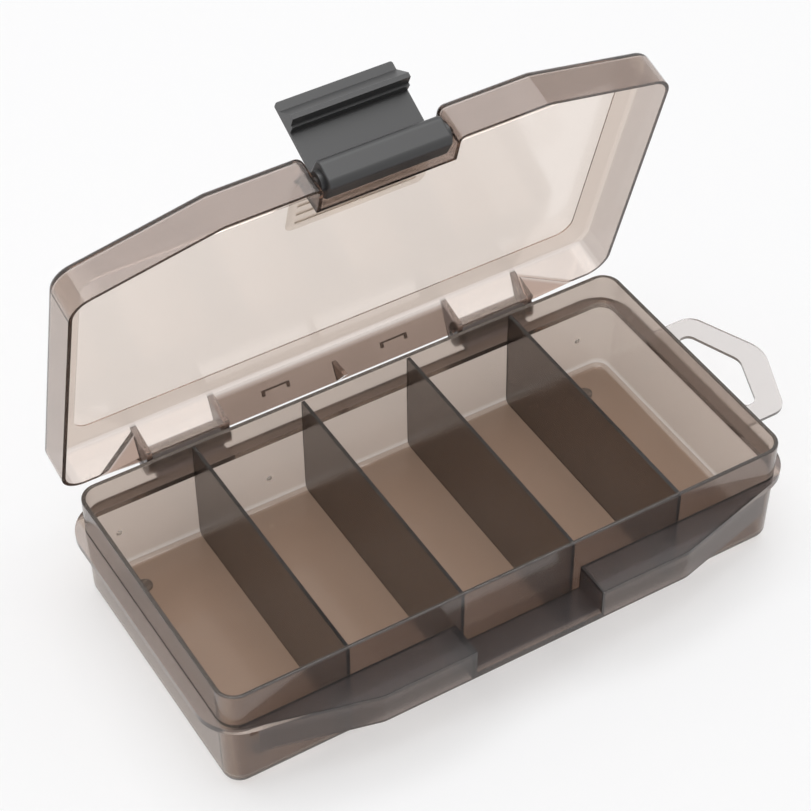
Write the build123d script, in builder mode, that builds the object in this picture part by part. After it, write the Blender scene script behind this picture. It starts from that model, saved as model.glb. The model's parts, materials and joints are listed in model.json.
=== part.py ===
from build123d import *
import os

# A flat see-through tackle box with five compartments, a hinged lid, a flip latch and a hang loop.
# Millimetres. The origin is on the table under the middle of the tray. X runs along the box towards the
# hang loop, Y runs from the latch side to the hinge side, Z is up. The lid stands open and its latch is
# flipped back, as the box is shown in use.

# Tray: size over the rim, walls that lean in towards the floor, and four low feet
rim_length = 160.0
rim_width = 78.4
rim_height = 33.7
tray_wall = 1.1
tray_floor = 1.3
wall_lean = 0.5
corner_radius = 5.2
bottom_round = 3.0
rim_round = 0.4
foot_height = 0.6
foot_radius = 2.0
foot_inset_end = 11.6
foot_inset_side = 8.9

# Flange: the ledge round the tray that carries the closed lid and stands out past it at the ends and the
# back, and its bulge at the front
rim_above_flange = 9.7
flange_thickness = 1.8
end_overhang = 3.4
back_overhang = 3.0
front_overhang = 2.3
flange_corner_radius = 11.0
bulge_depth = 9.8
bulge_inset = 7.0
bulge_slope = 29.3
bulge_round = 6.0
apron_height = 9.5
apron_wall = 1.1
notch_width = 36.0
catch_shelf = 2.0

# Hang loop: a flat eye in the plane of the flange at the right end
loop_thickness = 0.9
loop_half_width = 21.0
loop_shoulder = 14.8
loop_reach = 24.0
loop_shoulder_round = 5.0
loop_tip_round = 10.0
eye_start = 6.3
eye_half_width = 15.0
eye_shoulder = 10.0
eye_reach = 16.0
eye_start_round = 1.5
eye_shoulder_round = 2.5
eye_tip_round = 5.0

# Dividers: straight plates as high as the rim
compartments = 5
divider_thickness = 1.0
divider_drop = 0.1

# Lid: a shallow cap that sits on the flange and clears the rim
lid_open = 74.5
lid_overhang = 1.8
lid_corner_radius = 6.6
lid_wall = 1.0
lid_panel = 1.4
lid_seat_gap = 0.4
lid_rim_gap = 0.3
lid_top_round = 2.0
lid_inner_round = 0.8
window_step = 0.3
window_margin_side = 6.0
window_margin_back = 8.0
window_margin_front = 7.5
window_corner_radius = 4.5
lid_notch_setback = 1.9
lid_notch_wall = 1.0
lid_notch_round = 2.4

# Hinge: two gaps in the lid's rear wall, a knuckle on the tray in each, a pin through both
hinge_reach = 7.0
hinge_rise = 2.0
hinge_inset = 23.5
hinge_width = 20.5
hinge_side_gap = 0.5
cheek_thickness = 1.6
lug_radius = 3.0
knuckle_radius = 3.2
pocket_inset = 8.5
pocket_drop = 1.5
pocket_depth = 7.4
pocket_rise = 3.0
gusset_thickness = 1.2
gusset_rise = 4.4
corner_wall = 1.8
hinge_pin_radius = 1.2
pin_clearance = 0.05

# Latch: a rounded square barrel with end collars, a plate, a stepped hook ridge and a finger tab
latch_open = 167.0
latch_reach = 7.0
latch_rise = 4.45
barrel_side_gap = 1.5
barrel_size = 7.9
barrel_round = 2.0
plate_inset = 0.6
plate_face = 3.94
plate_thickness = 1.6
latch_heel = 2.7
hook_distance = 14.8
hook_ledge_height = 2.4
hook_ledge = 0.7
hook_lean = 0.3
hook_height = 4.9
hook_crest = 1.2
hook_ramp = 3.6
tab_length = 2.4
tab_corner_radius = 0.6
latch_edge_round = 0.5
latch_pin_radius = 1.2
collar_radius = 2.6
collar_gap = 0.4

os.makedirs("parts", exist_ok=True)

# Places worked out from the sizes above
half_length = rim_length / 2
half_width = rim_width / 2
floor_top = foot_height + tray_floor
flange_top = rim_height - rim_above_flange
flange_bottom = flange_top - flange_thickness
apron_bottom = flange_top - apron_height
bulge_front = half_width + bulge_depth
bulge_slope_half_width = half_length - bulge_inset
bulge_half_width = bulge_slope_half_width - bulge_slope
flange_back = half_width + back_overhang
flange_side = half_length + end_overhang
flange_front = half_width + front_overhang
lid_back = half_width + lid_overhang
lid_side = half_length + lid_overhang
lid_skirt_bottom = flange_top + lid_seat_gap
lid_panel_bottom = rim_height + lid_rim_gap
lid_top = lid_panel_bottom + lid_panel
lid_notch_floor = half_width + lid_notch_setback
hinge_y = half_width + hinge_reach
hinge_z = flange_top + hinge_rise
latch_y = -half_width - latch_reach
latch_z = flange_top + latch_rise
hinge_gap_outer = half_length - hinge_inset
hinge_gap_inner = hinge_gap_outer - hinge_width
hinge_pin_length = hinge_width + 2 * cheek_thickness
pocket_end = half_length - pocket_inset
barrel_length = notch_width - 2 * barrel_side_gap
collar_length = notch_width - 2 * collar_gap
plate_width = barrel_length - 2 * plate_inset

# The open lid is the closed lid turned about the hinge, and the flipped latch is the closed latch turned
# about its own pin, so both are drawn closed, on planes that carry them to where they stand.
lid_turn = Rot(X=-lid_open)
lid_place = Pos(Y=hinge_y, Z=hinge_z) * lid_turn * Pos(Y=-hinge_y, Z=-hinge_z)
latch_place = lid_place * Pos(Y=latch_y, Z=latch_z) * Rot(X=-latch_open)


def on_lid(plane):
    """Carry a plane of the closed lid to the open lid."""
    return Plane(lid_place * plane.location)


def on_latch(plane):
    """Carry a plane of the closed latch, with its pin at the origin, to the flipped latch."""
    return Plane(latch_place * plane.location)


lid_up = Axis((0, 0, 0), on_lid(Plane.XY).z_dir)

# Outlines of the flange and of the lid: straight at the back and the ends, and bulged at the front, where a
# slope runs from each end corner to the bulge
slope_rate = (bulge_front - flange_front) / bulge_slope


def bulged_outline(side, back, corner_round):
    """Draw an outline with the front bulge, from its ends, its back and its corners."""
    slope_end = flange_front - (side - bulge_slope_half_width) * slope_rate
    with BuildSketch() as outline:
        with BuildLine():
            FilletPolyline(
                (-side, back),
                (side, back),
                (side, -slope_end),
                (bulge_half_width, -bulge_front),
                (-bulge_half_width, -bulge_front),
                (-side, -slope_end),
                radius=[corner_round] * 3 + [bulge_round] * 2 + [corner_round],
                close=True,
            )
        make_face()
    return outline.sketch


flange_outline = bulged_outline(flange_side, flange_back, flange_corner_radius)
lid_outline = bulged_outline(lid_side, lid_back, lid_corner_radius)

# Tray: its outer form, and the hollow that the walls and the floor leave
with BuildPart() as tray_form:
    with BuildSketch(Plane.XY.offset(foot_height)):
        RectangleRounded(
            rim_length - 2 * wall_lean, rim_width - 2 * wall_lean, corner_radius - wall_lean
        )
    with BuildSketch(Plane.XY.offset(flange_bottom)):
        RectangleRounded(rim_length, rim_width, corner_radius)
    loft(ruled=True)
    with BuildSketch(Plane.XY.offset(flange_bottom)):
        RectangleRounded(rim_length, rim_width, corner_radius)
    extrude(amount=rim_height - flange_bottom)
    fillet(tray_form.faces().sort_by(Axis.Z)[0].edges(), bottom_round)

with BuildPart() as tray_hollow:
    with BuildSketch(Plane.XY.offset(floor_top)):
        RectangleRounded(
            rim_length - 2 * (wall_lean + tray_wall),
            rim_width - 2 * (wall_lean + tray_wall),
            corner_radius - wall_lean - tray_wall,
        )
    with BuildSketch(Plane.XY.offset(flange_bottom)):
        RectangleRounded(
            rim_length - 2 * tray_wall, rim_width - 2 * tray_wall, corner_radius - tray_wall
        )
    loft(ruled=True)
    with BuildSketch(Plane.XY.offset(flange_bottom)):
        RectangleRounded(
            rim_length - 2 * tray_wall, rim_width - 2 * tray_wall, corner_radius - tray_wall
        )
    extrude(amount=rim_height - flange_bottom)
    fillet(tray_hollow.faces().sort_by(Axis.Z)[0].edges(), bottom_round - tray_wall)

with BuildPart() as base_tray:
    add(tray_form.part)
    # Flange all round, with the front bulge
    with BuildSketch(Plane.XY.offset(flange_bottom)):
        add(flange_outline)
    extrude(amount=flange_thickness)
    # Apron: the wall that hangs under the bulge's edge
    with BuildSketch(Plane.XY.offset(apron_bottom)):
        add(flange_outline)
        offset(amount=-apron_wall, mode=Mode.SUBTRACT)
        with Locations((0, -flange_front)):
            Rectangle(
                2 * flange_side,
                flange_front + 2 * flange_back,
                align=(Align.CENTER, Align.MIN),
                mode=Mode.SUBTRACT,
            )
    extrude(amount=apron_height)
    # Latch recess: side walls, catch shelf, and the cut that opens it to the front
    with BuildSketch(Plane.XY.offset(apron_bottom)):
        with Locations((0, -half_width + wall_lean)):
            Rectangle(
                notch_width + 2 * apron_wall,
                bulge_depth + wall_lean,
                align=(Align.CENTER, Align.MAX),
            )
    extrude(amount=apron_height)
    with BuildSketch(Plane.XY.offset(apron_bottom + catch_shelf)):
        with Locations((0, -half_width)):
            Rectangle(notch_width, 2 * bulge_depth, align=(Align.CENTER, Align.MAX))
    extrude(amount=apron_height, mode=Mode.SUBTRACT)
    # Hang loop, thinner than the flange and flush with its top
    with BuildSketch(Plane.XY.offset(flange_top - loop_thickness)):
        with BuildLine():
            FilletPolyline(
                (half_length, loop_half_width),
                (half_length + loop_shoulder, loop_half_width),
                (half_length + loop_reach, 0),
                (half_length + loop_shoulder, -loop_half_width),
                (half_length, -loop_half_width),
                radius=[0, loop_shoulder_round, loop_tip_round, loop_shoulder_round, 0],
                close=True,
            )
        make_face()
        half_eye_rounds = [eye_start_round, eye_shoulder_round, eye_tip_round]
        eye_rounds = half_eye_rounds + half_eye_rounds[1::-1]
        with BuildLine(mode=Mode.PRIVATE) as eye_line:
            FilletPolyline(
                (half_length + eye_start, eye_half_width),
                (half_length + eye_shoulder, eye_half_width),
                (half_length + eye_reach, 0),
                (half_length + eye_shoulder, -eye_half_width),
                (half_length + eye_start, -eye_half_width),
                radius=eye_rounds,
                close=True,
            )
        add(make_face(eye_line.edges(), mode=Mode.PRIVATE), mode=Mode.SUBTRACT)
    extrude(amount=loop_thickness)
    # Hinge knuckles: an eye on a bracket that grows out of the rear wall
    for side in (-1, 1):
        knuckle_start = side * (hinge_gap_inner + hinge_side_gap)
        knuckle_length = hinge_width - 2 * hinge_side_gap
        with BuildSketch(Plane.YZ.offset(knuckle_start)):
            with BuildLine():
                Polyline(
                    (half_width - tray_wall / 2, flange_top),
                    (hinge_y, flange_top),
                    (hinge_y, hinge_z - knuckle_radius),
                    (half_width - wall_lean / 2, flange_bottom),
                    close=True,
                )
            make_face()
            with Locations((hinge_y, hinge_z)):
                Circle(knuckle_radius)
                Circle(hinge_pin_radius, mode=Mode.SUBTRACT)
        extrude(amount=side * knuckle_length)
    # Feet
    with BuildSketch():
        foot_pitch_x = rim_length - 2 * (wall_lean + foot_inset_end)
        foot_pitch_y = rim_width - 2 * (wall_lean + foot_inset_side)
        with GridLocations(foot_pitch_x, foot_pitch_y, 2, 2):
            Circle(foot_radius)
    extrude(amount=foot_height + tray_floor / 2)
    add(tray_hollow.part, mode=Mode.SUBTRACT)
    fillet(base_tray.faces().sort_by(Axis.Z)[-1].edges(), rim_round)

base_tray.part.label = "base_tray"
export_step(base_tray.part, "parts/base_tray.step")

# Dividers: plates cut to the tray's hollow, so that they meet its floor and walls
compartment_pitch = (rim_length - 2 * tray_wall) / compartments
for number in range(1, compartments):
    divider_x = number * compartment_pitch - (half_length - tray_wall)
    with BuildPart() as divider:
        add(tray_hollow.part)
        with Locations((divider_x, 0, 0)):
            Box(
                divider_thickness,
                rim_width,
                rim_height - rim_round - divider_drop,
                align=(Align.CENTER, Align.CENTER, Align.MIN),
                mode=Mode.INTERSECT,
            )
    divider.part.label = f"divider_{number}"
    export_step(divider.part, f"parts/divider_{number}.step")


def notch_corners(outline):
    """The two corners where the latch notch meets the front of a lid outline."""
    front_points = outline.vertices().group_by(Axis.Y)[0]
    return front_points.sort_by(lambda point: abs(point.X))[:2]


# Lid: the hollow under its panel, with the latch notch's walls left standing
with BuildPart() as lid_hollow:
    with BuildSketch(on_lid(Plane.XY.offset(lid_skirt_bottom))) as hollow_outline:
        add(lid_outline)
        offset(amount=-lid_wall, mode=Mode.REPLACE)
        with Locations((0, lid_notch_wall - lid_notch_floor)):
            Rectangle(
                notch_width + 2 * lid_wall,
                bulge_depth,
                align=(Align.CENTER, Align.MAX),
                mode=Mode.SUBTRACT,
            )
        fillet(notch_corners(hollow_outline), lid_notch_round - lid_wall)
    extrude(amount=lid_panel_bottom - lid_skirt_bottom)
    fillet(lid_hollow.faces().sort_by(lid_up)[-1].edges(), lid_inner_round)

# Pockets of the lid's rear wall, where it leans out from the panel's edge towards the hinge line
pocket_top = lid_top - pocket_drop
pocket_back = lid_back + pocket_depth
pocket_bottom = lid_skirt_bottom + pocket_rise
skirt_inside = lid_back - lid_wall
pocket_lean = Vector(pocket_depth, pocket_bottom - pocket_top).normalized()
pocket_inward = Vector(pocket_lean.Y, -pocket_lean.X) * lid_wall
pocket_edge = Vector(pocket_back, pocket_bottom)
hollow_edge = pocket_edge + pocket_inward
hollow_run = (hollow_edge.X - skirt_inside) / pocket_lean.X
hollow_top = hollow_edge - pocket_lean * hollow_run
hollow_foot = hollow_edge + pocket_lean * pocket_rise
gusset_top = pocket_bottom + gusset_rise
gusset_edge = pocket_back - pocket_depth * gusset_rise / (pocket_top - pocket_bottom)

# How fast a corner pocket's face falls back along the box and up the wall
corner_rise_rate = pocket_depth / (pocket_bottom - pocket_top)
corner_end_rate = corner_rise_rate * (pocket_top - lid_skirt_bottom) / (pocket_end - hinge_gap_outer)


def corner_pocket(side, wall, cheek, reach_in, reach_down):
    """A corner pocket's points at one end of the box, drawn in by a wall and run on past its open sides."""
    start = hinge_gap_outer + cheek
    set_in = wall - corner_end_rate * cheek
    top = (start, lid_back, pocket_top + set_in / corner_rise_rate)
    back = (start, pocket_back - set_in, pocket_bottom)
    end_step = wall - corner_rise_rate * (lid_skirt_bottom - pocket_top)
    end = (hinge_gap_outer + end_step / corner_end_rate, lid_back, lid_skirt_bottom)
    root = (start, lid_back, lid_skirt_bottom)
    points = []
    for x, y, z in (top, back, end, root):
        points.append((side * x, y, z))
        points.append((side * x, y - reach_in, z))
        points.append((side * x, y, z - reach_down))
    return points


with BuildPart() as lid:
    # Cap: the flange's outline with the latch notch, up to the rounded top edge
    with BuildSketch(on_lid(Plane.XY.offset(lid_skirt_bottom))) as cap_outline:
        add(lid_outline)
        with Locations((0, -lid_notch_floor)):
            Rectangle(notch_width, bulge_depth, align=(Align.CENTER, Align.MAX), mode=Mode.SUBTRACT)
        fillet(notch_corners(cap_outline), lid_notch_round)
    extrude(amount=lid_top - lid_skirt_bottom)
    fillet(lid.faces().sort_by(lid_up)[-1].edges(), lid_top_round)
    add(lid_hollow.part, mode=Mode.SUBTRACT)
    # Window: the middle of the panel is a step thinner
    window_length = rim_length - 2 * window_margin_side
    window_width = rim_width - window_margin_back - window_margin_front
    with BuildSketch(on_lid(Plane.XY.offset(lid_panel_bottom))):
        with Locations((0, (window_margin_front - window_margin_back) / 2)):
            RectangleRounded(window_length, window_width, window_corner_radius)
    extrude(amount=window_step, mode=Mode.SUBTRACT)
    # Rear pockets: one between the hinge gaps and one at each corner
    with BuildSketch(on_lid(Plane.YZ.offset(-hinge_gap_inner))):
        with BuildLine():
            Polyline(
                (skirt_inside, pocket_top),
                (lid_back, pocket_top),
                (pocket_back, pocket_bottom),
                (lid_back, lid_skirt_bottom),
                (skirt_inside, lid_skirt_bottom),
                close=True,
            )
        make_face()
    extrude(amount=2 * hinge_gap_inner)
    for side in (-1, 1):
        with Locations(lid_place):
            ConvexPolyhedron(corner_pocket(side, 0, 0, lid_wall, 0))
    # Cheeks: the plates beside each hinge gap, with a round lug on the hinge line
    for cheek_start in (hinge_gap_inner - cheek_thickness, hinge_gap_outer):
        for side in (-1, 1):
            with BuildSketch(on_lid(Plane.YZ.offset(side * cheek_start))):
                with BuildLine():
                    Polyline(
                        (lid_back, pocket_top),
                        (pocket_back, pocket_bottom),
                        (lid_back, lid_skirt_bottom),
                        close=True,
                    )
                    CenterArc((hinge_y, hinge_z), lug_radius, 0, 360)
                make_hull()
            extrude(amount=side * cheek_thickness)
    # The pockets are hollow and open towards the tray
    half_pocket = hinge_gap_inner - cheek_thickness
    with BuildSketch(on_lid(Plane.YZ.offset(-half_pocket))):
        with BuildLine():
            Polyline(
                (skirt_inside - lid_wall, hollow_top.Y),
                (hollow_top.X, hollow_top.Y),
                (hollow_edge.X, hollow_edge.Y),
                (hollow_foot.X, hollow_foot.Y),
                (hollow_foot.X, lid_skirt_bottom - pocket_rise),
                (skirt_inside - lid_wall, lid_skirt_bottom - pocket_rise),
                close=True,
            )
        make_face()
    extrude(amount=2 * half_pocket, mode=Mode.SUBTRACT)
    # Gusset: a low rib in the middle of the middle pocket
    with BuildSketch(on_lid(Plane.YZ.offset(-gusset_thickness / 2))):
        with BuildLine():
            Polyline(
                (gusset_edge, gusset_top),
                (pocket_back, pocket_bottom),
                (lid_back, lid_skirt_bottom),
                close=True,
            )
        make_face()
    extrude(amount=gusset_thickness)
    for side in (-1, 1):
        with Locations(lid_place):
            ConvexPolyhedron(
                corner_pocket(side, corner_wall, cheek_thickness, 2 * lid_wall, pocket_rise),
                mode=Mode.SUBTRACT,
            )
        # Running holes for the hinge pin through the lugs
        with BuildSketch(on_lid(Plane.YZ.offset(side * (hinge_gap_inner - cheek_thickness)))):
            with Locations((hinge_y, hinge_z)):
                Circle(hinge_pin_radius + pin_clearance)
        extrude(amount=side * hinge_pin_length, mode=Mode.SUBTRACT)
        # Tight holes for the latch pin through the notch's side walls
        with BuildSketch(on_lid(Plane.YZ.offset(side * notch_width / 2))):
            with Locations((latch_y, latch_z)):
                Circle(latch_pin_radius)
        extrude(amount=side * lid_wall, mode=Mode.SUBTRACT)

    # Relief: the cheeks keep clear of the flange's rear edge
    with BuildSketch(on_lid(Plane.YZ.offset(-lid_side))):
        with Locations((flange_back + lid_rim_gap, lid_skirt_bottom)):
            Rectangle(flange_back, lid_skirt_bottom, align=(Align.MAX, Align.MAX))
    extrude(amount=2 * lid_side, mode=Mode.SUBTRACT)

lid.part.label = "lid"
export_step(lid.part, "parts/lid.step")

# Hinge pins: held in the knuckles, with their ends flush with the lugs
for side, pin_name in ((-1, "hinge_pin_left"), (1, "hinge_pin_right")):
    with BuildPart() as hinge_pin:
        with BuildSketch(Plane.YZ.offset(side * (hinge_gap_inner - cheek_thickness))):
            with Locations((hinge_y, hinge_z)):
                Circle(hinge_pin_radius)
        extrude(amount=side * hinge_pin_length)
    hinge_pin.part.label = pin_name
    export_step(hinge_pin.part, f"parts/{pin_name}.step")

# Latch pin: held in the side walls of the lid's notch
latch_pin_length = notch_width + 2 * lid_wall
with BuildPart() as latch_pin:
    with BuildSketch(on_latch(Plane.YZ.offset(-latch_pin_length / 2))):
        Circle(latch_pin_radius)
    extrude(amount=latch_pin_length)
latch_pin.part.label = "latch_pin"
export_step(latch_pin.part, "parts/latch_pin.step")

# Latch, drawn hanging closed from its pin: the hook ridge faces the tray and catches under the shelf
plate_back = plate_face + plate_thickness
hook_tip = hook_height - plate_face
hook_ledge_face = hook_ledge_height - plate_face
hook_ledge_top = hook_distance + hook_ledge
hook_top = hook_ledge_top + hook_lean
hook_end = hook_top + hook_crest + hook_ramp
latch_tip = hook_end + tab_length
latch_out = Axis((0, 0, 0), -on_latch(Plane.XY).y_dir)
latch_down = Axis((0, 0, 0), -on_latch(Plane.XY).z_dir)
with BuildPart() as latch:
    with BuildSketch(on_latch(Plane.YZ.offset(-plate_width / 2))):
        with BuildLine():
            Polyline(
                (-barrel_round, 0),
                (-barrel_round, -barrel_round),
                (-plate_face, -barrel_size / 2),
                (-plate_face, -hook_distance),
                (hook_ledge_face, -hook_distance),
                (hook_ledge_face, -hook_ledge_top),
                (hook_tip, -hook_top),
                (hook_tip, -hook_top - hook_crest),
                (-plate_face, -hook_end),
                (-plate_face, -latch_tip),
                (-plate_back, -latch_tip),
                (-plate_back, -latch_heel),
                (-barrel_size / 2, 0),
                close=True,
            )
        make_face()
    extrude(amount=plate_width)
    tip_corners = latch.edges().filter_by(latch_out).group_by(latch_down)[-1]
    fillet(tip_corners, tab_corner_radius)
    fillet(latch.faces().sort_by(latch_out)[-1].edges(), latch_edge_round)
    with BuildSketch(on_latch(Plane.YZ.offset(-barrel_length / 2))):
        RectangleRounded(barrel_size, barrel_size, barrel_round)
    extrude(amount=barrel_length)
    for barrel_end in (0, -1):
        end_edge = latch.faces().sort_by(Axis.X)[barrel_end].edges()
        fillet(end_edge, latch_edge_round)
    with BuildSketch(on_latch(Plane.YZ.offset(-collar_length / 2))):
        Circle(collar_radius)
    extrude(amount=collar_length)
    with BuildSketch(on_latch(Plane.YZ.offset(-collar_length / 2))):
        Circle(latch_pin_radius + pin_clearance)
    extrude(amount=collar_length, mode=Mode.SUBTRACT)
latch.part.label = "latch"
export_step(latch.part, "parts/latch.step")
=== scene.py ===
import json
import math

import bmesh
import bpy
from mathutils import Matrix, Vector


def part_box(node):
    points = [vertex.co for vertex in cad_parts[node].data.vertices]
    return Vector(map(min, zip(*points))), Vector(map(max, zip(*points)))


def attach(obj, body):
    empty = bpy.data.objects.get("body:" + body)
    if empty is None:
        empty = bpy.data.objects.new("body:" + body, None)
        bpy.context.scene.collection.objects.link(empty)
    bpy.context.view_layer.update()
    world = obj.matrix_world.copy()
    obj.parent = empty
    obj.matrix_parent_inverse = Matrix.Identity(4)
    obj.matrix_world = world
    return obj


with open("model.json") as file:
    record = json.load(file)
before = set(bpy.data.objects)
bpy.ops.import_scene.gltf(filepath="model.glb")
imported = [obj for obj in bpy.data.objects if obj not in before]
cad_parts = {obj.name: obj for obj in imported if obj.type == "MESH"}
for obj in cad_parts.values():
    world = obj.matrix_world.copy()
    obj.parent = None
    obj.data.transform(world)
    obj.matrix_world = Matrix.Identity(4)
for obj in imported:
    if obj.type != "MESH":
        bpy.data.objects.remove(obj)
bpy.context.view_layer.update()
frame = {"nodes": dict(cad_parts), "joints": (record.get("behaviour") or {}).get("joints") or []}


# Tray: one injection moulding in smoke-tinted plastic, with thin leaning walls, a ledge for the lid and a
# bulged front with the catch for the latch. Its skin is satin, so it is seen through a little softly, and
# its tint looks deeper wherever more plastic lies in the line of sight. Its colour also holds painted shade
# on the floor, the front, the ledge, the knuckles and the feet, and painted highlights along the floor's joint.
def moulded_skin():
    """A shader group for the gloss of moulded plastic, which is faintly cloudy."""
    group = bpy.data.node_groups.new("moulded_skin", "ShaderNodeTree")
    for name, value in (("Gloss", 0.1), ("Cloud", 0.05), ("Cloud Scale", 60.0)):
        socket = group.interface.new_socket(name, in_out="INPUT", socket_type="NodeSocketFloat")
        socket.default_value = value
    group.interface.new_socket("Roughness", in_out="OUTPUT", socket_type="NodeSocketFloat")
    n, link = group.nodes, group.links.new
    inside = n.new("NodeGroupInput")
    outside = n.new("NodeGroupOutput")
    place = n.new("ShaderNodeTexCoord")
    cloud = n.new("ShaderNodeTexNoise")
    cloud.inputs["Detail"].default_value = 3.0
    amount = n.new("ShaderNodeMath")
    amount.operation = "MULTIPLY"
    total = n.new("ShaderNodeMath")
    total.operation = "ADD"
    total.use_clamp = True
    link(place.outputs["Object"], cloud.inputs["Vector"])
    link(inside.outputs["Cloud Scale"], cloud.inputs["Scale"])
    link(cloud.outputs["Fac"], amount.inputs[0])
    link(inside.outputs["Cloud"], amount.inputs[1])
    link(amount.outputs[0], total.inputs[0])
    link(inside.outputs["Gloss"], total.inputs[1])
    link(total.outputs[0], outside.inputs["Roughness"])
    return group


skin_group = moulded_skin()
plastic_ior = 1.49
lamp_tint = (0.93, 0.93, 0.93)
millimetres_per_metre = 1000.0


def smoke_plastic(name, tint, take_up, clear, gloss, cloud):
    """See-through smoke plastic: a tinted skin, and light taken up in each millimetre. Lamps shine through."""
    material = bpy.data.materials.new(name)
    material.use_nodes = True
    n, link = material.node_tree.nodes, material.node_tree.links.new
    n.clear()
    out = n.new("ShaderNodeOutputMaterial")
    body = n.new("ShaderNodeBsdfPrincipled")
    body.name = "body"
    body.inputs["Base Color"].default_value = (*tint, 1.0)
    body.inputs["Transmission Weight"].default_value = clear
    body.inputs["IOR"].default_value = plastic_ior
    skin = n.new("ShaderNodeGroup")
    skin.node_tree = skin_group
    skin.inputs["Gloss"].default_value = gloss
    skin.inputs["Cloud"].default_value = cloud
    lamps = n.new("ShaderNodeBsdfTransparent")
    lamps.inputs["Color"].default_value = (*lamp_tint, 1.0)
    rays = n.new("ShaderNodeLightPath")
    choose = n.new("ShaderNodeMixShader")
    inner = n.new("ShaderNodeVolumeAbsorption")
    strongest = max(take_up)
    inner.inputs["Color"].default_value = (*(1.0 - part / strongest for part in take_up), 1.0)
    inner.inputs["Density"].default_value = strongest * millimetres_per_metre
    link(skin.outputs["Roughness"], body.inputs["Roughness"])
    link(rays.outputs["Is Shadow Ray"], choose.inputs["Fac"])
    link(body.outputs["BSDF"], choose.inputs[1])
    link(lamps.outputs["BSDF"], choose.inputs[2])
    link(choose.outputs["Shader"], out.inputs["Surface"])
    link(inner.outputs["Volume"], out.inputs["Volume"])
    return material


def dress(node, material):
    """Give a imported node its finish."""
    slots = frame["nodes"][node].data.materials
    slots.clear()
    slots.append(material)


def add_piece(mesh, name, material, body):
    """Make a mesh a visible piece that moves with a body."""
    mesh.materials.clear()
    mesh.materials.append(material)
    piece = bpy.data.objects.new(name, mesh)
    bpy.context.scene.collection.objects.link(piece)
    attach(piece, body)


class TintByPlace:
    """Builds a plastic's base colour from places on the piece, in the piece's own coordinates."""

    def __init__(self, material, turn=0.0, shift=(0.0, 0.0, 0.0)):
        self.nodes = material.node_tree.nodes
        self.link = material.node_tree.links.new
        place = self.nodes.new("ShaderNodeTexCoord")
        mapping = self.nodes.new("ShaderNodeMapping")
        mapping.inputs["Rotation"].default_value = (turn, 0.0, 0.0)
        mapping.inputs["Location"].default_value = shift
        self.place = self.nodes.new("ShaderNodeSeparateXYZ")
        self.link(place.outputs["Object"], mapping.inputs["Vector"])
        self.link(mapping.outputs["Vector"], self.place.inputs["Vector"])

    def between(self, axis, start, end):
        """A share that goes from 0 at one place along an axis to 1 at another."""
        share = self.nodes.new("ShaderNodeMapRange")
        share.inputs["From Min"].default_value = start
        share.inputs["From Max"].default_value = end
        self.link(self.place.outputs[axis], share.inputs["Value"])
        return share.outputs["Result"]

    def both(self, first, second):
        """The share that two shares have in common."""
        product = self.nodes.new("ShaderNodeMath")
        product.operation = "MULTIPLY"
        self.link(first, product.inputs[0])
        self.link(second, product.inputs[1])
        return product.outputs[0]

    def band(self, axis, low, high, fade):
        """A share that is 1 between two places along an axis and fades out past both."""
        return self.both(self.between(axis, low - fade, low), self.between(axis, high + fade, high))

    def blend(self, share, first, second):
        """One colour turning into another by a share."""
        mix = self.nodes.new("ShaderNodeMix")
        mix.data_type = "RGBA"
        self.link(share, next(socket for socket in mix.inputs if socket.identifier == "Factor_Float"))
        for letter, value in (("A_Color", first), ("B_Color", second)):
            socket = next(socket for socket in mix.inputs if socket.identifier == letter)
            if isinstance(value, tuple):
                socket.default_value = (*value, 1.0)
            else:
                self.link(value, socket)
        return next(socket for socket in mix.outputs if socket.identifier == "Result_Color")

    def paint(self, colour):
        """Put the colour on the plastic."""
        self.link(colour, self.nodes["body"].inputs["Base Color"])


# Places on the tray, from the boxes of the tray and a divider and from the lid's hinge
tray_low, tray_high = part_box("base_tray")
divider_low, divider_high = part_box("divider_1")
lid_hinge = next(joint for joint in frame["joints"] if joint["name"] == "lid_hinge")
hinge_line = Vector(lid_hinge["pos_m"])
tray_wall = 0.0011
wall_lean = 0.0005
end_overhang = 0.0034
back_overhang = 0.0030
rim_above_ledge = 0.0097
ledge_thickness = 0.0018
apron_reach = 0.0014
recess_side = 0.0191
foot_height = 0.0006
floor_inside = divider_low.z
wall_inside = divider_high.y
wall_outside = wall_inside + tray_wall
ledge_back = wall_outside + back_overhang
ledge_end = -tray_low.x
end_outside = ledge_end - end_overhang
end_inside = end_outside - tray_wall
ledge_top = tray_high.z - rim_above_ledge
ledge_bottom = ledge_top - ledge_thickness
apron_inside = tray_low.y + apron_reach

# Lengths over which one tint turns into the next. The joint's are heights above the floor, of the painted
# highlight, a pale line where the floor rounds into the walls.
hair = 0.0001
ledge_fade = 0.0003
front_fade = 0.0015
low_front_fade = 0.0020
knuckle_fade = 0.0010
rim_fade = 0.0005
joint_start = 0.0001
joint_full = 0.0005
joint_fade = 0.0012
joint_end = 0.0022

wall_tint = (0.80, 0.705, 0.64)
# Painted shade: the floor is darker and warmer, for the shaded table seen through it.
floor_shade_tint = (0.468, 0.348, 0.272)
# Painted highlight: a pale line along the floor's joint with the walls.
joint_highlight_tint = (0.95, 0.90, 0.86)
# Painted shade: the front wall darker, and darker still lower down under the ledge.
front_shade_tint = (0.48, 0.42, 0.40)
low_front_shade_tint = (0.36, 0.30, 0.275)
# Painted shade: the recess and the top of the bulge under the ledge are darker.
ledge_shade_tint = (0.27, 0.25, 0.26)
# Painted shade: the rear and right ends of the ledge are darker.
rear_ledge_shade_tint = (0.36, 0.31, 0.29)
right_ledge_shade_tint = (0.37, 0.32, 0.31)
# Painted shade on the left rim's outer wall above the ledge, and painted light on the ledge's left end.
left_rim_shade_tint = (0.50, 0.44, 0.42)
left_ledge_light_tint = (0.85, 0.79, 0.77)
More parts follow.
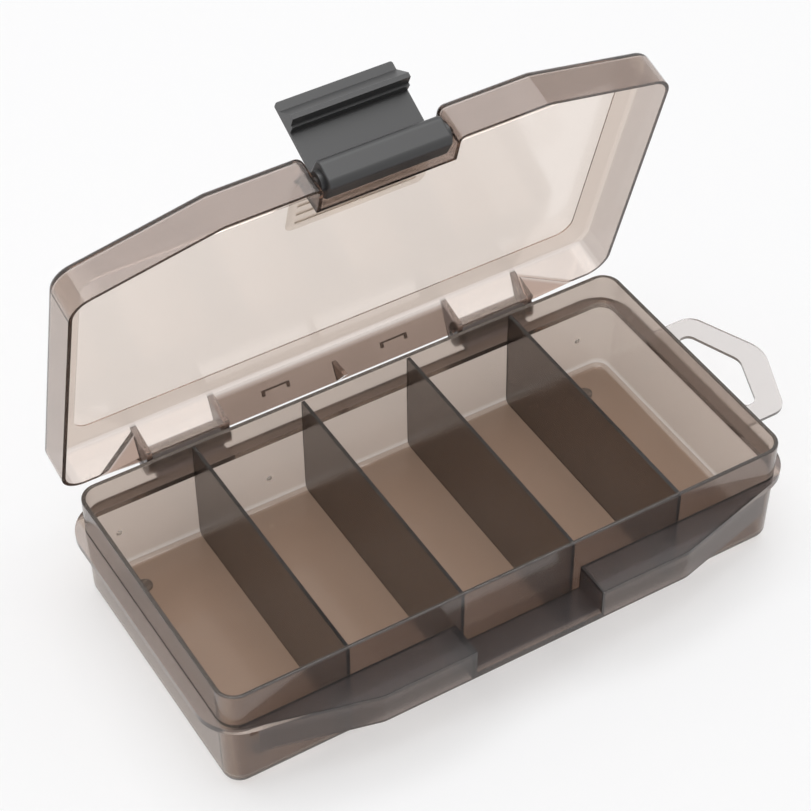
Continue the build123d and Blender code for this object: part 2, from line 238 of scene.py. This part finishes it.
# Painted shade: a dark strip on the right wall at the ledge's height.
strip_shade_tint = (0.70, 0.60, 0.55)
# Painted shade: the knuckles are dark; painted highlight: their tops are paler.
knuckle_shade_tint = (0.30, 0.27, 0.28)
knuckle_top_highlight_tint = (0.78, 0.73, 0.71)
loop_tint = (0.92, 0.90, 0.90)
# Painted shade: the feet are nearly black where they stand on the table.
foot_shade_tint = (0.04, 0.03, 0.025)
tray_smoke = smoke_plastic(
    "smoke_tray", wall_tint, take_up=(0.20, 0.22, 0.24), clear=0.92, gloss=0.11, cloud=0.06
)
tray = TintByPlace(tray_smoke)
joint_highlight_line = tray.both(
    tray.between("Z", floor_inside + joint_start, floor_inside + joint_full),
    tray.between("Z", floor_inside + joint_end, floor_inside + joint_fade),
)
ledge_height = tray.band("Z", ledge_bottom, ledge_top, ledge_fade)
front_wall = tray.between("Y", front_fade - wall_outside, -wall_outside)
front_zone = tray.between("Y", -wall_outside - hair, -wall_outside - 2 * hair)
recess = tray.both(
    tray.band("X", -recess_side, recess_side, hair), tray.between("Y", apron_inside - hair, apron_inside + hair)
)
bulge_top = tray.between("Z", ledge_top - 4 * hair, ledge_top - hair)
right_strip = tray.between("X", end_inside - 3 * hair, end_inside - hair)
right_end = tray.both(
    tray.between("X", end_outside, end_outside + hair), tray.between("X", ledge_end + 2 * hair, ledge_end)
)
left_end = tray.between("X", -end_outside, -end_outside - hair)
left_wall = tray.between("X", -end_outside + 2 * hair, -end_outside + hair)
behind = tray.between("Y", wall_outside, wall_outside + hair)
knuckles = tray.between("Y", ledge_back, ledge_back + 2 * hair)
low_on_front = tray.between("Z", ledge_bottom - 2 * hair, ledge_bottom - low_front_fade)
knuckle_top = tray.between("Z", hinge_line.z, hinge_line.z + knuckle_fade)
above_ledge = tray.between("Z", ledge_top, ledge_top + rim_fade)
# The tray's colour, with painted shade and painted highlights blended in place by place.
tray_colour = wall_tint
for share, tint in (
    (tray.between("Z", floor_inside + 3 * hair, floor_inside + hair), floor_shade_tint),
    (joint_highlight_line, joint_highlight_tint),
    (front_wall, front_shade_tint),
    (tray.both(front_wall, low_on_front), low_front_shade_tint),
    (tray.both(front_zone, recess), ledge_shade_tint),
    (tray.both(front_zone, bulge_top), ledge_shade_tint),
    (tray.both(ledge_height, right_strip), strip_shade_tint),
    (tray.both(ledge_height, behind), rear_ledge_shade_tint),
    (knuckles, knuckle_shade_tint),
    (tray.both(knuckles, knuckle_top), knuckle_top_highlight_tint),
    (tray.both(ledge_height, left_end), left_ledge_light_tint),
    (tray.both(left_wall, above_ledge), left_rim_shade_tint),
    (tray.both(ledge_height, right_end), right_ledge_shade_tint),
    (tray.between("X", ledge_end, ledge_end + 2 * hair), loop_tint),
    (tray.between("Z", foot_height, foot_height - hair), foot_shade_tint),
):
    tray_colour = tray.blend(share, tray_colour, tint)
tray.paint(tray_colour)
dress("base_tray", tray_smoke)

# Wall marks: three small round buttons on the rear wall's inner face, as a moulding tool leaves them. They
# are of the tray's own plastic and a little paler than the wall.
button_radius = 0.0008
button_crown_radius = 0.0005
button_depth = 0.0003
button_sides = 16
button_places = ((-0.0700, 0.0142), (-0.0268, 0.0110), (0.0700, 0.0132))
touch_gap = 0.00002
face_out = Matrix.Rotation(math.radians(90.0), 4, "X")
buttons = bmesh.new()
for button_x, button_z in button_places:
    face_y = wall_inside - wall_lean * (ledge_bottom - button_z) / (ledge_bottom - floor_inside)
    middle = Vector((button_x, face_y - touch_gap - button_depth / 2, button_z))
    bmesh.ops.create_cone(
        buttons,
        cap_ends=True,
        segments=button_sides,
        radius1=button_radius,
        radius2=button_crown_radius,
        depth=button_depth,
        matrix=Matrix.Translation(middle) @ face_out,
    )
button_mesh = bpy.data.meshes.new("wall_marks")
buttons.to_mesh(button_mesh)
buttons.free()
button_pale = smoke_plastic(
    "smoke_wall_mark", (1.0, 0.96, 0.92), take_up=(0.01, 0.02, 0.03), clear=0.60, gloss=0.30, cloud=0.06
)
add_piece(button_mesh, "wall_marks", button_pale, "base")

# Dividers: four upright plates of the same plastic, as high as the rim, that stand across the tray. They look
# darker than the walls, edge-on and one behind the other.
divider_count = 4
divider_smoke = smoke_plastic(
    "smoke_divider", (0.31, 0.285, 0.27), take_up=(0.25, 0.27, 0.28), clear=0.95, gloss=0.14, cloud=0.06
)
for number in range(1, divider_count + 1):
    dress(f"divider_{number}", divider_smoke)


# Pins: short round pins in plain dark plastic that the lid and the latch turn on. Two are held in the tray's
# hinge knuckles and one in the side walls of the lid's notch.
def plain_finish(name, colour, roughness):
    """A solid finish with one colour all over."""
    material = bpy.data.materials.new(name)
    material.use_nodes = True
    body = material.node_tree.nodes["Principled BSDF"]
    body.inputs["Base Color"].default_value = (*colour, 1.0)
    body.inputs["Roughness"].default_value = roughness
    return material


pin_dark = plain_finish("pin_dark", (0.07, 0.06, 0.055), roughness=0.4)
for pin in ("hinge_pin_left", "hinge_pin_right", "latch_pin"):
    dress(pin, pin_dark)

# Lid: a shallow cap in the same smoke plastic, glossier and thinner than the tray, with a clear window in
# the middle of its panel. It stands open on its two hinges. Its skirt, the pockets of its rear wall and the
# cheeks in its hinge gaps are painted darker than the panel, as painted shade. Its places are those of the
# closed lid.
lid_open = math.radians(-lid_hinge["range_deg"][0])
open_lid = Matrix.Rotation(-lid_open, 4, "X")
lid_to_rest = Matrix.Translation(hinge_line) @ open_lid @ Matrix.Translation(-hinge_line)
lid_rim_gap = 0.0003
lid_panel = 0.0014
lid_overhang = 0.0018
rear_skirt_depth = 0.0020
window_step = 0.0003
hinge_gap_inner = 0.0360
hinge_gap_outer = 0.0565
cheek_thickness = 0.0016
side_skirt_start = 0.0720
side_skirt_end = 0.0810
panel_inside = tray_high.z + lid_rim_gap
panel_outside = panel_inside + lid_panel
window_inside = panel_inside + window_step
lid_back = wall_outside + lid_overhang
rear_skirt_inside = lid_back - rear_skirt_depth
pocket_start = lid_back + 2 * hair
window_tint = (1.0, 0.963, 0.921)
margin_tint = (0.74, 0.67, 0.61)
# Painted shade: the front skirt darkest, the side skirts less, and the pockets and cheeks darker still.
skirt_shade_tint = (0.46, 0.41, 0.39)
side_shade_tint = (0.68, 0.63, 0.60)
rear_tint = (0.87, 0.83, 0.80)
cheek_shade_tint = (0.16, 0.13, 0.12)
pocket_shade_tint = (0.34, 0.265, 0.225)
corner_pocket_shade_tint = (0.58, 0.46, 0.40)
lid_take_up = (0.07, 0.11, 0.135)
lid_smoke = smoke_plastic("smoke_lid", window_tint, lid_take_up, clear=0.97, gloss=0.10, cloud=0.04)
lid = TintByPlace(lid_smoke, lid_open, hinge_line - Matrix.Rotation(lid_open, 3, "X") @ hinge_line)
window = lid.between("Z", panel_inside + hair / 2, window_inside - hair / 2)
panel = lid.between("Z", panel_inside - 8 * hair, panel_inside - hair)
rear_skirt = lid.between("Y", rear_skirt_inside - 4 * hair, rear_skirt_inside)
pockets = lid.between("Y", pocket_start - 3 * hair, pocket_start + 5 * hair)
behind_skirt = lid.between("Y", pocket_start - 8 * hair, pocket_start)
corner_start = hinge_gap_outer + cheek_thickness
cheeks = ((hinge_gap_inner - cheek_thickness, hinge_gap_inner), (hinge_gap_outer, corner_start))
skirt_colour = skirt_shade_tint
for side in (1, -1):
    skirt_side = lid.between("X", side * side_skirt_start, side * side_skirt_end)
    skirt_colour = lid.blend(skirt_side, skirt_colour, side_shade_tint)
panel_colour = lid.blend(window, margin_tint, window_tint)
lid_colour = lid.blend(panel, skirt_colour, panel_colour)
lid_colour = lid.blend(rear_skirt, lid_colour, rear_tint)
lid_colour = lid.blend(pockets, lid_colour, pocket_shade_tint)
for side in (-1, 1):
    corner = lid.between("X", side * corner_start, side * (corner_start + 3 * hair))
    lid_colour = lid.blend(lid.both(corner, pockets), lid_colour, corner_pocket_shade_tint)
for cheek in cheeks:
    for side in (-1, 1):
        cheek_low, cheek_high = sorted(side * edge for edge in cheek)
        plate = lid.band("X", cheek_low, cheek_high, 2 * hair)
        lid_colour = lid.blend(lid.both(plate, behind_skirt), lid_colour, cheek_shade_tint)
lid.paint(lid_colour)
dress("lid", lid_smoke)


# Grip: a shallow pad on the outside of the lid's panel behind the latch, with three low ribs for a thumb.
# It is moulded in one with the lid and seen through it from within. The ribs are paler and cloudier than
# the lid, as a painted highlight on their faces.
def place_on_lid(mesh, name, material):
    """Make a mesh drawn on the closed lid a piece of the open lid."""
    mesh.transform(lid_to_rest)
    add_piece(mesh, name, material, "lid")


pad_half_width = 0.0196
pad_front = -0.0389
pad_rear = -0.0196
pad_corner = 0.0026
pad_slope = 0.0014
pad_height = 0.00012
quarter_steps = 6
pad_corners = (
    (pad_half_width - pad_corner, pad_rear - pad_corner),
    (-pad_half_width + pad_corner, pad_rear - pad_corner),
    (-pad_half_width + pad_corner, pad_front + pad_corner),
    (pad_half_width - pad_corner, pad_front + pad_corner),
)
pad_points = []
for inset, height in ((0.0, touch_gap), (pad_slope, pad_height)):
    reach = pad_corner - inset
    for quarter, (corner_x, corner_y) in enumerate(pad_corners):
        for step in range(quarter_steps + 1):
            angle = math.radians(90.0 * (quarter + step / quarter_steps))
            x = corner_x + reach * math.cos(angle)
            y = corner_y + reach * math.sin(angle)
            pad_points.append((x, y, panel_outside + height))
around = len(pad_points) // 2
pad_faces = [list(reversed(range(around))), list(range(around, 2 * around))]
for step in range(around):
    after = (step + 1) % around
    pad_faces.append([step, after, around + after, around + step])
pad_mesh = bpy.data.meshes.new("grip_pad")
pad_mesh.from_pydata(pad_points, [], pad_faces)
place_on_lid(pad_mesh, "grip_pad", lid_smoke)


def rib_rows():
    """A tree that lays a row of bars, each a low rib, and the identifiers of its inputs."""
    tree = bpy.data.node_groups.new("grip_ribs", "GeometryNodeTree")
    tree.interface.new_socket("Geometry", in_out="INPUT", socket_type="NodeSocketGeometry")
    identifiers = {}
    for name, kind in (
        ("Count", "NodeSocketInt"),
        ("Pitch", "NodeSocketFloat"),
        ("Length", "NodeSocketFloat"),
        ("Width", "NodeSocketFloat"),
        ("Height", "NodeSocketFloat"),
        ("Finish", "NodeSocketMaterial"),
    ):
        identifiers[name] = tree.interface.new_socket(name, in_out="INPUT", socket_type=kind).identifier
    tree.interface.new_socket("Geometry", in_out="OUTPUT", socket_type="NodeSocketGeometry")
    n, link = tree.nodes, tree.links.new
    given = n.new("NodeGroupInput")
    result = n.new("NodeGroupOutput")
    step = n.new("ShaderNodeCombineXYZ")
    row = n.new("GeometryNodeMeshLine")
    size = n.new("ShaderNodeCombineXYZ")
    bar = n.new("GeometryNodeMeshCube")
    lay = n.new("GeometryNodeInstanceOnPoints")
    real = n.new("GeometryNodeRealizeInstances")
    coat = n.new("GeometryNodeSetMaterial")
    link(given.outputs["Pitch"], step.inputs["Y"])
    link(given.outputs["Count"], row.inputs["Count"])
    link(step.outputs["Vector"], row.inputs["Offset"])
    link(given.outputs["Length"], size.inputs["X"])
    link(given.outputs["Width"], size.inputs["Y"])
    link(given.outputs["Height"], size.inputs["Z"])
    link(size.outputs["Vector"], bar.inputs["Size"])
    link(row.outputs["Mesh"], lay.inputs["Points"])
    link(bar.outputs["Mesh"], lay.inputs["Instance"])
    link(lay.outputs["Instances"], real.inputs["Geometry"])
    link(real.outputs["Geometry"], coat.inputs["Geometry"])
    link(given.outputs["Finish"], coat.inputs["Material"])
    link(coat.outputs["Geometry"], result.inputs["Geometry"])
    return tree, identifiers


rib_first_y = -0.0285
rib_lift = 0.0002
# Painted highlight: the ribs are pale and cloudy.
rib_highlight = smoke_plastic("rib_highlight", (1.0, 0.98, 0.95), lid_take_up, clear=0.35, gloss=0.45, cloud=0.04)
rib_tree, rib_inputs = rib_rows()
rib_source = bpy.data.objects.new("grip_rib_source", bpy.data.meshes.new("grip_rib_source"))
bpy.context.scene.collection.objects.link(rib_source)
rib_layout = rib_source.modifiers.new("ribs", "NODES")
rib_layout.node_group = rib_tree
for name, value in (
    ("Count", 3),
    ("Pitch", 0.00325),
    ("Length", 0.0336),
    ("Width", 0.0006),
    ("Height", 0.00035),
    ("Finish", rib_highlight),
):
    rib_layout[rib_inputs[name]] = value
rib_view = bpy.context.evaluated_depsgraph_get()
rib_mesh = bpy.data.meshes.new_from_object(rib_source.evaluated_get(rib_view))
bpy.data.objects.remove(rib_source)
rib_mesh.transform(Matrix.Translation((0.0, rib_first_y, panel_outside + pad_height + rib_lift)))
place_on_lid(rib_mesh, "grip_ribs", rib_highlight)

# Core marks: two n-shaped marks on the sloping inner face of the lid's middle pocket, as the cores of a
# moulding tool leave them. They stand a hair proud of the face and are painted dark, as painted shade in
# the marks.
core_centres = (-0.01765, 0.0181)
core_half_length = 0.0041
core_leg = 0.0016
core_leg_stroke = 0.0009
core_bar_stroke = 0.0004
core_rise = 0.0002
core_place = Vector((0.0, 0.0432, 0.0305))
pocket_depth = 0.0074
pocket_height = 0.0065
along = Vector((1.0, 0.0, 0.0))
slope_down = Vector((0.0, pocket_depth, -pocket_height)).normalized()
core_turn = Matrix((along, slope_down, along.cross(slope_down))).transposed().to_4x4()
leg_offset = core_half_length - core_leg_stroke / 2
leg_length = core_leg - core_bar_stroke
leg_middle = core_bar_stroke + leg_length / 2
cores = bmesh.new()
for centre in core_centres:
    for x, y, length, width in (
        (centre, core_bar_stroke / 2, 2 * core_half_length, core_bar_stroke),
        (centre - leg_offset, leg_middle, core_leg_stroke, leg_length),
        (centre + leg_offset, leg_middle, core_leg_stroke, leg_length),
    ):
        size = Matrix.Diagonal((length, width, 2 * core_rise, 1.0))
        bmesh.ops.create_cube(cores, size=1.0, matrix=Matrix.Translation((x, y, 0.0)) @ size)
core_mesh = bpy.data.meshes.new("core_marks")
cores.to_mesh(core_mesh)
cores.free()
core_mesh.transform(Matrix.Translation(core_place) @ core_turn)
# Painted shade: the marks are darker than the pocket around them.
core_shade_smoke = smoke_plastic(
    "painted_shade_mark", (0.30, 0.25, 0.22), take_up=(0.25, 0.27, 0.28), clear=0.90, gloss=0.20, cloud=0.06
)
place_on_lid(core_mesh, "core_marks", core_shade_smoke)

# Latch: one moulding in black satin plastic, with a barrel, a plate and a hook ridge. It hangs on its pin in
# the lid's notch and is flipped over the lid.
latch_black = plain_finish("latch_black", (0.040, 0.040, 0.041), roughness=0.37)
dress("latch", latch_black)


# Table: a plain white sweep that the box stands on. It is bright where it is seen, mirrored or seen through
# plastic, and it keeps the box's soft shadow.
def seen_share(tree):
    """A share of 1 for what the camera sees, straight, mirrored or through plastic."""
    rays = tree.nodes.new("ShaderNodeLightPath")
    share = rays.outputs["Is Camera Ray"]
    for kind in ("Is Glossy Ray", "Is Transmission Ray"):
        either = tree.nodes.new("ShaderNodeMath")
        either.operation = "MAXIMUM"
        tree.links.new(share, either.inputs[0])
        tree.links.new(rays.outputs[kind], either.inputs[1])
        share = either.outputs[0]
    return share


floor_reach = 3.0
floor_glow_share = 0.40
floor_white = bpy.data.materials.new("floor_white")
floor_white.use_nodes = True
floor_tree = floor_white.node_tree
floor_body = floor_tree.nodes["Principled BSDF"]
floor_body.inputs["Base Color"].default_value = (0.92, 0.92, 0.925, 1.0)
floor_body.inputs["Roughness"].default_value = 0.9
floor_body.inputs["Specular IOR Level"].default_value = 0.1
floor_glow = floor_tree.nodes.new("ShaderNodeEmission")
floor_glow.inputs["Color"].default_value = (0.94, 0.94, 0.945, 1.0)
floor_share = floor_tree.nodes.new("ShaderNodeMath")
floor_share.operation = "MULTIPLY"
floor_share.inputs[1].default_value = floor_glow_share
floor_mix = floor_tree.nodes.new("ShaderNodeMixShader")
floor_tree.links.new(seen_share(floor_tree), floor_share.inputs[0])
floor_tree.links.new(floor_share.outputs[0], floor_mix.inputs["Fac"])
floor_tree.links.new(floor_body.outputs["BSDF"], floor_mix.inputs[1])
floor_tree.links.new(floor_glow.outputs["Emission"], floor_mix.inputs[2])
floor_tree.links.new(floor_mix.outputs["Shader"], floor_tree.nodes["Material Output"].inputs["Surface"])
floor_corners = [(x * floor_reach, y * floor_reach, 0.0) for x, y in ((-1, -1), (1, -1), (1, 1), (-1, 1))]
floor_mesh = bpy.data.meshes.new("floor")
floor_mesh.from_pydata(floor_corners, [], [(0, 1, 2, 3)])
floor_mesh.materials.append(floor_white)
floor = bpy.data.objects.new("floor", floor_mesh)
bpy.context.scene.collection.objects.link(floor)

# Light: a bright white room, which lights the box at about half the level at which it is seen, and one large
# soft box overhead and behind.
world = bpy.data.worlds.new("white_room")
world.use_nodes = True
room = world.node_tree.nodes["Background"]
room.inputs["Color"].default_value = (1.0, 1.0, 1.0, 1.0)
level = world.node_tree.nodes.new("ShaderNodeMapRange")
level.inputs["To Min"].default_value = 0.50
level.inputs["To Max"].default_value = 0.945
world.node_tree.links.new(seen_share(world.node_tree), level.inputs["Value"])
world.node_tree.links.new(level.outputs["Result"], room.inputs["Strength"])
bpy.context.scene.world = world

lamp_place = Vector((0.0, 0.15, 1.40))
lamp_target = Vector((0.0, 0.0, 0.03))
lamp = bpy.data.lights.new("overhead_box", "AREA")
lamp.shape = "RECTANGLE"
lamp.size = 1.5
lamp.size_y = 1.2
lamp.energy = 15.0
lamp_holder = bpy.data.objects.new("overhead_box", lamp)
lamp_holder.location = lamp_place
lamp_holder.rotation_euler = (lamp_target - lamp_place).to_track_quat("-Z", "Y").to_euler()
bpy.context.scene.collection.objects.link(lamp_holder)

# Camera: level, at the place and with the lens that set the rim, the dividers and the lid where the
# photograph shows them. The lens comes from a focal length in the photograph's pixels.
azimuth = math.radians(-31.28473)
elevation = math.radians(44.23159)
camera_aside = -0.00702712
camera_above = 0.03972012
camera_away = 0.62671694
focal_length_px = 2425.434
photo_width_px = 811.0
right = Vector((math.cos(azimuth), math.sin(azimuth), 0.0))
level_forward = Vector((-math.sin(azimuth), math.cos(azimuth), 0.0))
forward = level_forward * math.cos(elevation) - Vector((0.0, 0.0, math.sin(elevation)))
up = right.cross(forward)
camera_data = bpy.data.cameras.new("camera")
camera_data.sensor_width = 36.0
camera_data.lens = focal_length_px * camera_data.sensor_width / photo_width_px
camera_data.clip_start = 0.01
camera = bpy.data.objects.new("camera", camera_data)
spot = right * camera_aside + up * camera_above - forward * camera_away
turn = Matrix((right, up, -forward)).transposed().to_4x4()
camera.matrix_world = Matrix.Translation(spot) @ turn
bpy.context.scene.collection.objects.link(camera)

# Render: the plain view transform, and enough bounces for the many walls of clear plastic behind one another.
scene = bpy.context.scene
scene.camera = camera
scene.view_settings.view_transform = "Standard"
scene.cycles.max_bounces = 24
scene.cycles.transmission_bounces = 24
scene.cycles.transparent_max_bounces = 32
